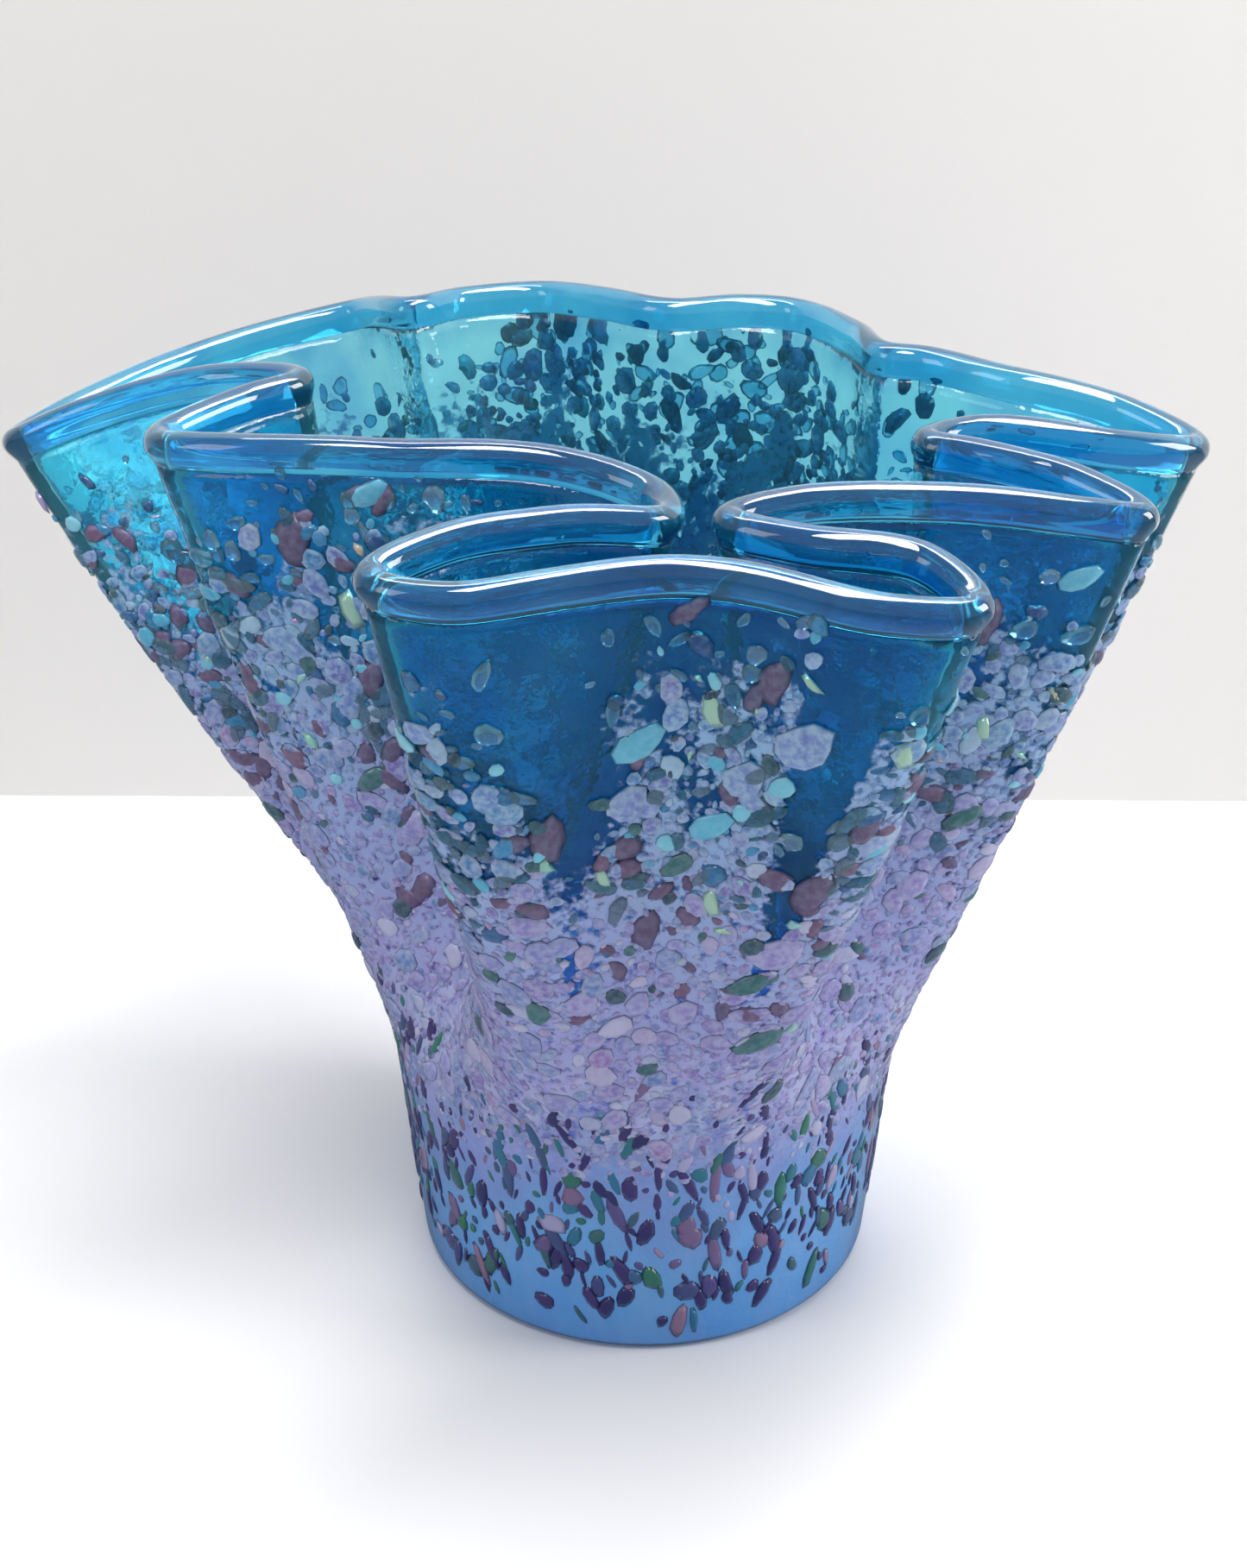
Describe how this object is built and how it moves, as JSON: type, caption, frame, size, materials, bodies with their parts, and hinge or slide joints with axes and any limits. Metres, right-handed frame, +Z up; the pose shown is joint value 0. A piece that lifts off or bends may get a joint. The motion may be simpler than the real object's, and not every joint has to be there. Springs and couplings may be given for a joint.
{
  "type": "hand blown glass vase",
  "caption": "Ruffled handkerchief vase of blown glass: a round conical base opens into deep folded lobes with a fire-polished rim and fused glass chips outside.",
  "frame": {"origin": "centre of the foot's flat underside", "axes": "+Z up, +X along the longest spread of the rim, -Y towards the front lobe"},
  "size_m": [0.1942, 0.1479, 0.1549],
  "materials": {
    "foot_glass": "opaque periwinkle-blue glass, ground and polished underneath",
    "periwinkle_glass": "milky periwinkle glass with drawn-out dark, green and pink flecks",
    "violet_glass": "translucent violet glass, finely rippled outside",
    "lavender_glass": "clear glass under a pebbled lavender crust",
    "aqua_glass": "clear deep aqua glass, glossy",
    "lip_glass": "fire-polished, very glossy",
    "plum_chip": "opaque, slightly matt",
    "bottle_green_chip": "nearly opaque, glossy",
    "lavender_pebble": "glossy, fire-rounded",
    "aqua_pebble": "glossy, fire-rounded",
    "dichroic_flake": "thin metallic coating that changes colour"
  },
  "bodies": {
    "root": {"foot_disc": "foot_glass", "base_band": "periwinkle_glass", "violet_band": "violet_glass", "lavender_band": "lavender_glass", "aqua_band": "aqua_glass", "rim_lip": "lip_glass", "plum_chip_01": "plum_chip", "plum_chip_02": "plum_chip", "plum_chip_03": "plum_chip", "plum_chip_04": "plum_chip", "plum_chip_05": "plum_chip", "plum_chip_06": "plum_chip", "plum_chip_07": "plum_chip", "plum_chip_08": "plum_chip", "plum_chip_09": "plum_chip", "plum_chip_10": "plum_chip", "plum_chip_11": "plum_chip", "plum_chip_12": "plum_chip", "plum_chip_13": "plum_chip", "plum_chip_14": "plum_chip", "bottle_green_chip_01": "bottle_green_chip", "bottle_green_chip_02": "bottle_green_chip", "bottle_green_chip_03": "bottle_green_chip", "bottle_green_chip_04": "bottle_green_chip", "bottle_green_chip_05": "bottle_green_chip", "bottle_green_chip_06": "bottle_green_chip", "bottle_green_chip_07": "bottle_green_chip", "bottle_green_chip_08": "bottle_green_chip", "lavender_pebble_01": "lavender_pebble", "lavender_pebble_02": "lavender_pebble", "lavender_pebble_03": "lavender_pebble", "lavender_pebble_04": "lavender_pebble", "lavender_pebble_05": "lavender_pebble", "lavender_pebble_06": "lavender_pebble", "lavender_pebble_07": "lavender_pebble", "lavender_pebble_08": "lavender_pebble", "lavender_pebble_09": "lavender_pebble", "lavender_pebble_10": "lavender_pebble", "aqua_pebble_01": "aqua_pebble", "aqua_pebble_02": "aqua_pebble", "aqua_pebble_03": "aqua_pebble", "aqua_pebble_04": "aqua_pebble", "aqua_pebble_05": "aqua_pebble", "aqua_pebble_06": "aqua_pebble", "dichroic_flake_01": "dichroic_flake", "dichroic_flake_02": "dichroic_flake", "dichroic_flake_03": "dichroic_flake", "dichroic_flake_04": "dichroic_flake", "dichroic_flake_05": "dichroic_flake", "dichroic_flake_06": "dichroic_flake", "dichroic_flake_07": "dichroic_flake", "dichroic_flake_08": "dichroic_flake"}
  },
  "joints": []
}
